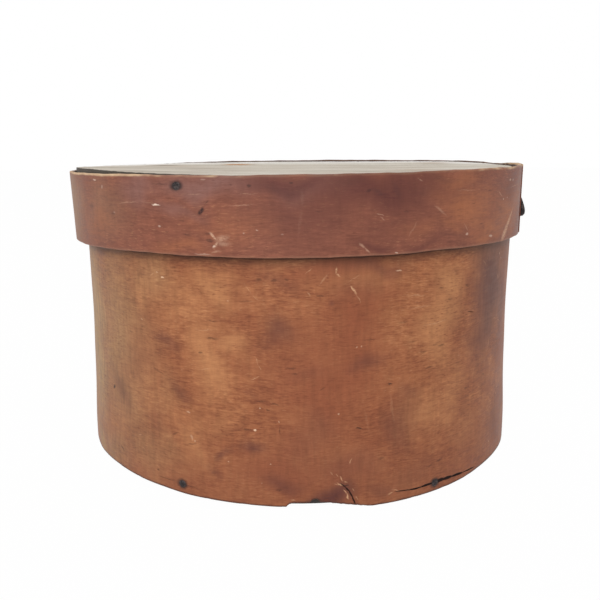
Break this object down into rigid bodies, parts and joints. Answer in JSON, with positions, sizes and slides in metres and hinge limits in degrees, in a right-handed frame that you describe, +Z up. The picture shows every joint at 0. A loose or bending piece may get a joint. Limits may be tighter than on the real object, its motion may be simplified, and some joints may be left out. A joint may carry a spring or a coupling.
{
  "type": "round bentwood cheese box",
  "caption": "Round bentwood cheese box: a thin bent body band nailed round a flat wooden bottom, and a lift-off lid of flat boards with its own overlapping band.",
  "frame": {"origin": "centre of the body band's foot, on the surface that the box stands on", "axes": "+Z up along the box's round axis, -Y towards the front that the picture shows, +X to the right of that view"},
  "size_m": [0.311, 0.3102, 0.19],
  "materials": {
    "body_wood": "worn red-brown stain with horizontal grain",
    "lid_wood": "worn darker red-brown stain, pale where the rim is rubbed",
    "lid_board_wood": "bare weathered grey wood",
    "bottom_wood": "bare aged wood",
    "iron": "dark oxidised iron"
  },
  "bodies": {
    "body": {"body_band": "body_wood", "bottom_board_front": "bottom_wood", "bottom_board_back": "bottom_wood", "bottom_nails": "iron", "body_lap_tacks": "iron"},
    "lid": {"lid_band": "lid_wood", "lid_board_front": "lid_board_wood", "lid_board_back": "lid_board_wood", "lid_nails": "iron", "lid_lap_tacks": "iron", "lid_bent_nail": "iron"}
  },
  "joints": [
    {"name": "lid_lift", "type": "slide", "parent": "body", "child": "lid", "axis": [0, 0, 1], "range_m": [0, 0.1]}
  ]
}
